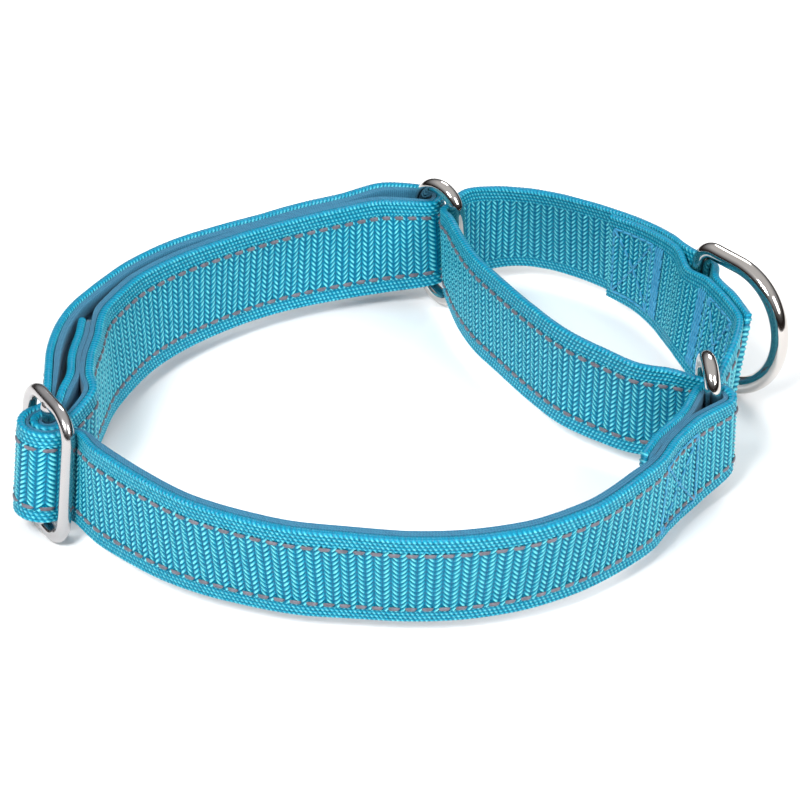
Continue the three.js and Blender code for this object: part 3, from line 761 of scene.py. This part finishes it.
# %% [markdown]
# ## Stitches
# Each stitch is a short flattened capsule that lies on the strap and dips at both ends, where the thread
# goes down into the cloth. A row of them is one mesh, laid stitch by stitch along a line on the strap.
# Painting the dashes into the webbing's colour would be lighter, but they would cast no shadow and catch no
# light of their own.

# %% Rows of stitches
DIP = 0.6            # of a stitch's height, how far its ends go down into the cloth


def stitch_rows(name, path, lines, level, outward, material, body, node, length, period, width, height):
    """Stitches along straight lines on the strap, each line from (along, across) to (along, across)."""
    sections, sides = 7, 8
    t = np.linspace(-1, 1, sections)
    swell = np.sqrt(np.clip(1.04 - t ** 4, 0, 1))
    turn = np.arange(sides) * 2 * np.pi / sides
    blank_along = (t * length / 2)[:, None] * np.ones(sides)
    blank_wide = swell[:, None] * width / 2 * np.cos(turn)
    blank_high = swell[:, None] * height / 2 * np.sin(turn) - (np.abs(t) ** 5 * height * DIP)[:, None]
    stitches = []
    for start, stop in lines:
        start, stop = np.array(start, float), np.array(stop, float)
        span = np.linalg.norm(stop - start)
        way = (stop - start) / span
        number = max(1, int((span + 0.01) / period))
        for k in range(number):
            middle = start + way * (k + 0.5) * span / number
            s = middle[0] + way[0] * blank_along - way[1] * blank_wide
            v = middle[1] + way[1] * blank_along + way[0] * blank_wide
            stitches.append(lay(path, s, v, level + outward * blank_high).reshape(-1, 3))
    faces = []
    for group in tube_faces(sections, sides):
        faces.append(np.concatenate([group + k * sections * sides for k in range(len(stitches))]))
    if outward < 0:
        faces = [group[:, ::-1] for group in faces]
    piece = mesh_piece(name, np.concatenate(stitches), faces, material)
    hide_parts(node)
    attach(piece, body)
    print(name, "stitches:", len(stitches))


dash = {"length": 2.4, "period": STITCH_PERIOD, "width": 1.05, "height": 0.44}
DASH_END = 1.0           # from the strap's end to its first dash
STRAP_DASH_LEVEL = face_level + 0.13
LOOP_DASH_LEVEL = -half_ply - 0.2
for place, row in (("lower", STITCH_INSET), ("upper", WEBBING_WIDTH - STITCH_INSET)):
    strap_line = ((DASH_END, row), (strap["length"] - DASH_END, row))
    loop_line = ((DASH_END, row), (loop["length"] - DASH_END, row))
    stitch_rows("strap_dashes_" + place, strap, [strap_line], STRAP_DASH_LEVEL, 1, reflective_thread,
                "collar", "strap_stitching_" + place, **dash)
    stitch_rows("loop_dashes_" + place, loop, [loop_line], LOOP_DASH_LEVEL, -1, reflective_thread,
                "control_loop", "loop_stitching_" + place, **dash)

# %% [markdown]
# ## Seams
# The folds are held by box stitching: two rows across the strap with a cross between them. The pocket for
# the leash ring takes the whole pull, so it has a bar tack on each side, a dense zigzag that lies like a
# smooth band.

# %% Box stitching and bar tacks
seam = {"length": 2.5, "period": 2.6, "width": 0.6, "height": 0.5}
SEAM_LEVEL = 0.2         # above the webbing's nominal face


def row_start(path, rows, row):
    """How far along a path one of its rows lies."""
    gaps = [math.hypot(row[0] - other[0], row[1] - other[1]) for other in rows]
    return float(path["starts"][min(gaps.index(min(gaps)), len(path["starts"]) - 1)])


def box_lines(start, stop, low=3.0, high=22.0):
    """A box with a cross, between two places along a strap."""
    corners = [(start, low), (start, high), (stop, high), (stop, low)]
    order = ((0, 1), (2, 3), (0, 2), (3, 1), (1, 2), (3, 0))
    return [(corners[first], corners[second]) for first, second in order]


def tack_lines(middle, width=2.6, rows=7, low=2.5, high=22.5):
    """The close rows of a bar tack, with every second row set half a stitch further along."""
    places = np.linspace(middle - width / 2, middle + width / 2, rows)
    shifts = [seam["period"] / 2 * (k % 2) for k in range(rows)]
    return [((place, low + shift), (place, high - shift)) for place, shift in zip(places, shifts)]


def line_across(place, low=3.0, high=22.0):
    """One row across the width."""
    return (place, low), (place, high)


# Each seam starts and stops a little inside the fold that it holds.
fold_box = box_lines(row_start(strap, strap_rows, front_arm[-3]) + 1.5,
                     row_start(strap, strap_rows, front_arm[-1]) - 2.0)
tail_box = box_lines(row_start(strap, strap_rows, front_end[0]) + 2.0, strap["length"] - 1.8)
slide_tack = row_start(strap, strap_rows, inner_arm[1]) + 3.5
slide_lines = [line_across(place) for place in (slide_tack, 2.5, slide_tack - 7)]
on_collar = (face_level + SEAM_LEVEL, 1, seam_thread, "collar")
stitch_rows("front_fold_seam_first", strap, fold_box[:1] + fold_box[2:], *on_collar,
            "front_fold_seam_far", **seam)
stitch_rows("front_fold_seam_second", strap, fold_box[1:2] + tail_box, *on_collar,
            "front_fold_seam_near", **seam)
stitch_rows("slide_end_stitches", strap, slide_lines, *on_collar, "slide_end_seam", **seam)

# %% Seams of the control loop
BOX_GAP = 3.0            # between a bar tack's middle and the box beside it
pocket_near = row_start(loop, loop_rows, inner_end[2]) + 1.0
pocket_far = row_start(loop, loop_rows, inner_end_far[0]) + 0.5
loop_turn = row_start(loop, loop_rows, inner_end_far[2]) - 2.0
outer_near = row_start(loop, loop_rows, outer_end[2]) + 1.0
outer_far = row_start(loop, loop_rows, outer_end_far[0]) + 0.5
on_inside = (half_ply + SEAM_LEVEL, 1, seam_thread, "control_loop")
on_outside = (-half_ply - SEAM_LEVEL, -1, seam_thread, "control_loop")
stitch_rows("loop_end_stitches", loop, box_lines(2.0, pocket_near - BOX_GAP), *on_inside,
            "loop_end_seam_inner", **seam)
stitch_rows("pocket_tack_near", loop, tack_lines(pocket_near), *on_inside, "pocket_seam_near", **seam)
stitch_rows("pocket_tack_far", loop, tack_lines(pocket_far) + box_lines(pocket_far + BOX_GAP, loop_turn),
            *on_inside, "pocket_seam_far", **seam)
outer_boxes = (box_lines(outer_near - 14.0, outer_near - BOX_GAP)
               + box_lines(outer_far + BOX_GAP, loop["length"] - 2.0))
stitch_rows("loop_outer_stitches", loop, tack_lines(outer_near) + tack_lines(outer_far) + outer_boxes,
            *on_outside, "loop_end_seam_outer", **seam)

# %% [markdown]
# ## Rings and slide
# Ring wire is round, so a ring is one closed tube with many sides. The CAD rings are coarse on purpose, and
# these fine ones lie exactly in their places. A curve with a round bevel could draw the same wire. Here one
# function closes the tubes of the rings and of the slide's bar, which swells near its ends.

# %% Wire pieces
WIRE_SIDES = 28
LEASH_SIDES = 32


def wire_points(outline, wire, bar, tall, lift=0.0, sides=WIRE_SIDES):
    """A closed tube along a closed outline of [along the heading, up] points, placed on its bar."""
    outline = np.asarray(outline, float)
    run = np.roll(outline, -1, axis=0) - np.roll(outline, 1, axis=0)
    run /= np.linalg.norm(run, axis=1)[:, None]
    turn = np.arange(sides) * 2 * np.pi / sides
    out = wire / 2 * np.cos(turn)[None, :]
    x = outline[:, :1] + run[:, 1:] * out
    z = outline[:, 1:] - run[:, :1] * out
    y = np.broadcast_to(wire / 2 * np.sin(turn)[None, :], x.shape)
    return to_bar(np.stack([x, y, z], -1), bar, tall, lift)


def to_bar(local, bar, tall, lift=0.0):
    """Moves points from a ring's own directions to its place in the collar, in metres."""
    lean = np.array([*bar["lean"], 0.0])
    up = lean + [0, 0, math.sqrt(WEBBING_WIDTH ** 2 - lean @ lean)]
    up /= np.linalg.norm(up)
    heading = np.array([*bar["heading"], 0.0])
    side = np.cross(up, heading)
    side /= np.linalg.norm(side)
    across = np.cross(side, up)
    base = np.array([bar["at"][0] - PLAN_CENTRE[0], bar["at"][1] - PLAN_CENTRE[1], EDGE_HEIGHT])
    base = base + up * (WEBBING_WIDTH / 2 + lift - tall / 2)
    return (base + local[..., :1] * across + local[..., 1:2] * side + local[..., 2:] * up) * MM


def arc(cx, cz, radius, start, stop, steps):
    """Points of an arc, in degrees."""
    angles = np.radians(np.linspace(start, stop, steps + 1))
    return [[cx + radius * math.cos(a), cz + radius * math.sin(a)] for a in angles]


def straight(points, spacing=1.5):
    """The same closed outline with its long straights divided."""
    result = []
    for here, after in zip(points, points[1:] + points[:1]):
        gap = math.dist(here, after)
        if gap < 1e-6:
            continue
        parts = max(1, round(gap / spacing))
        for k in range(parts):
            share = k / parts
            result.append([here[0] + (after[0] - here[0]) * share, here[1] + (after[1] - here[1]) * share])
    return result


RING_HEIGHT = 32.6
ring_tall = RING_HEIGHT - RING_WIRE
ring_radius = RING_BAR_SPACING / 2
ring_outline = straight(arc(ring_radius, ring_radius, ring_radius, 180, 360, 28)
                        + arc(ring_radius, ring_tall - ring_radius, ring_radius, 0, 180, 28))
for name, bar in (("back_ring", BACK_RING), ("front_ring", FRONT_RING)):
    rings = wire_points(ring_outline, RING_WIRE, bar, ring_tall)
    faces = tube_faces(len(rings), WIRE_SIDES, closed=True)
    piece = mesh_piece(name + "_wire", rings.reshape(-1, 3), faces, nickel)
    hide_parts(name)
    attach(piece, name)
    print(piece.name, "faces:", len(piece.data.polygons))

# %% Leash ring
LEASH_HEIGHT, LEASH_DEPTH, LEASH_LIFT, LEASH_CORNER = 33.2, 25, 0.93, 3.5
leash_tall = LEASH_HEIGHT - LEASH_WIRE
bow = leash_tall / 2
leash_outline = straight(arc(LEASH_CORNER, LEASH_CORNER, LEASH_CORNER, 180, 270, 10)
                         + arc(LEASH_DEPTH - bow, bow, bow, -90, 90, 56)
                         + arc(LEASH_CORNER, leash_tall - LEASH_CORNER, LEASH_CORNER, 90, 180, 10))
rings = wire_points(leash_outline, LEASH_WIRE, LEASH_BAR, leash_tall, LEASH_LIFT, LEASH_SIDES)
faces = tube_faces(len(rings), LEASH_SIDES, closed=True)
leash_ring = mesh_piece("leash_ring_wire", rings.reshape(-1, 3), faces, nickel)
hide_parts("leash_ring")
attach(leash_ring, "leash_ring")
print("leash ring faces:", len(leash_ring.data.polygons))

# %% [markdown]
# The slide is an oval frame and a middle bar that swells where it joins the frame, as a cast one does. It
# could be two pieces, but one mesh takes one finish and turns as one.

# %% Slide
SLIDE_HEIGHT, SLIDE_CORNER = 33.0, 5.5
BAR_SHARE = 0.98         # of the frame wire's radius
SWELLING, SWELL_AT, SWELL_LENGTH = 0.32, 1.4, 1.3    # of the middle bar near each end
slide_tall = SLIDE_HEIGHT - SLIDE_WIRE
half = SLIDE_BAR_SPACING
slide_outline = straight(arc(half - SLIDE_CORNER, SLIDE_CORNER, SLIDE_CORNER, 270, 360, 12)
                         + arc(half - SLIDE_CORNER, slide_tall - SLIDE_CORNER, SLIDE_CORNER, 0, 90, 12)
                         + arc(SLIDE_CORNER - half, slide_tall - SLIDE_CORNER, SLIDE_CORNER, 90, 180, 12)
                         + arc(SLIDE_CORNER - half, SLIDE_CORNER, SLIDE_CORNER, 180, 270, 12))
frame_rings = wire_points(slide_outline, SLIDE_WIRE, SLIDE_BAR, slide_tall)
heights = np.linspace(0, slide_tall, 41)
from_end = np.minimum(heights, slide_tall - heights)
swelling = SWELLING * np.exp(-((from_end - SWELL_AT) / SWELL_LENGTH) ** 2)
bar_radius = SLIDE_WIRE / 2 * (BAR_SHARE + swelling)[:, None]
turn = np.arange(WIRE_SIDES) * 2 * np.pi / WIRE_SIDES
upright = heights[:, None] * np.ones(WIRE_SIDES)
bar_local = np.stack([bar_radius * np.cos(turn), bar_radius * np.sin(turn), upright], -1)
bar_rings = to_bar(bar_local, SLIDE_BAR, slide_tall)
shift = len(frame_rings) * WIRE_SIDES
slide_points = np.concatenate([frame_rings.reshape(-1, 3), bar_rings.reshape(-1, 3)])
slide_faces = tube_faces(len(frame_rings), WIRE_SIDES, closed=True)
slide_faces += [group + shift for group in tube_faces(len(bar_rings), WIRE_SIDES)]
slide = mesh_piece("slide_casting", slide_points, slide_faces, satin_nickel)
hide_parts("slide")
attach(slide, "slide")
print("slide faces:", len(slide.data.polygons))

# %% [markdown]
# ## Floor and light
# A plain pale floor, a large soft key light from the front left, a fill from the right, a rim light behind
# and a bright sky give the soft shadows of a light tent. An even white sky would be simpler, but it gives
# bright metal little contrast to reflect, so this sky has a dark band low down, as dark boards give in a
# studio.

# %% Floor
floor_paint, tree = new_material("matt_white_floor")
grain = add_node(tree, "ShaderNodeTexNoise", {"Scale": 30.0, "Detail": 2.0})
tone = add_node(tree, "ShaderNodeValToRGB", {}, {0: grain.outputs[0]})
set_ramp(tone, [(0.0, "#f6f6f6"), (1.0, "#fafafa")])
floor_shader = add_node(tree, "ShaderNodeBsdfPrincipled", {"Roughness": 0.9}, {"Base Color": tone.outputs[0]})
add_node(tree, "ShaderNodeOutputMaterial", {}, {"Surface": floor_shader.outputs[0]})
bpy.ops.mesh.primitive_plane_add(size=8, location=(0, 0, -0.0003))
floor = bpy.context.object
floor.name = "floor"
floor.data.materials.append(floor_paint)

# %% Lights
def soft_light(name, place, size, power, look_at=(0, 0, 0.015)):
    """A square area light that faces the collar."""
    data = bpy.data.lights.new(name, "AREA")
    data.shape = "SQUARE"
    data.size = size
    data.energy = power
    lamp = bpy.data.objects.new(name, data)
    lamp.location = place
    lamp.rotation_euler = (Vector(look_at) - Vector(place)).to_track_quat("-Z", "Y").to_euler()
    bpy.context.collection.objects.link(lamp)
    return lamp


soft_light("key", (-0.5, -1.1, 1.2), 0.45, 28)
soft_light("fill", (0.9, -0.9, 0.9), 0.6, 13)
soft_light("rim", (0.3, 1.2, 1.2), 0.6, 8)
world = bpy.data.worlds.new("studio")
world.use_nodes = True
tree = world.node_tree
tree.nodes.clear()
direction = add_node(tree, "ShaderNodeTexCoord")
split = add_node(tree, "ShaderNodeSeparateXYZ", {}, {0: direction.outputs["Generated"]})
sky = add_node(tree, "ShaderNodeValToRGB", {}, {0: split.outputs[2]})
set_ramp(sky, [(0.0, "#4a4443"), (0.16, "#2a2220"), (0.34, "#747272"), (0.5, "#b4b6b9"), (0.8, "#ffffff")])
background = add_node(tree, "ShaderNodeBackground", {"Strength": 0.75}, {"Color": sky.outputs[0]})
add_node(tree, "ShaderNodeOutputWorld", {}, {"Surface": background.outputs[0]})
bpy.context.scene.world = world
bpy.context.scene.view_settings.view_transform = "Standard"
print("lights:", [light.name for light in bpy.data.lights])
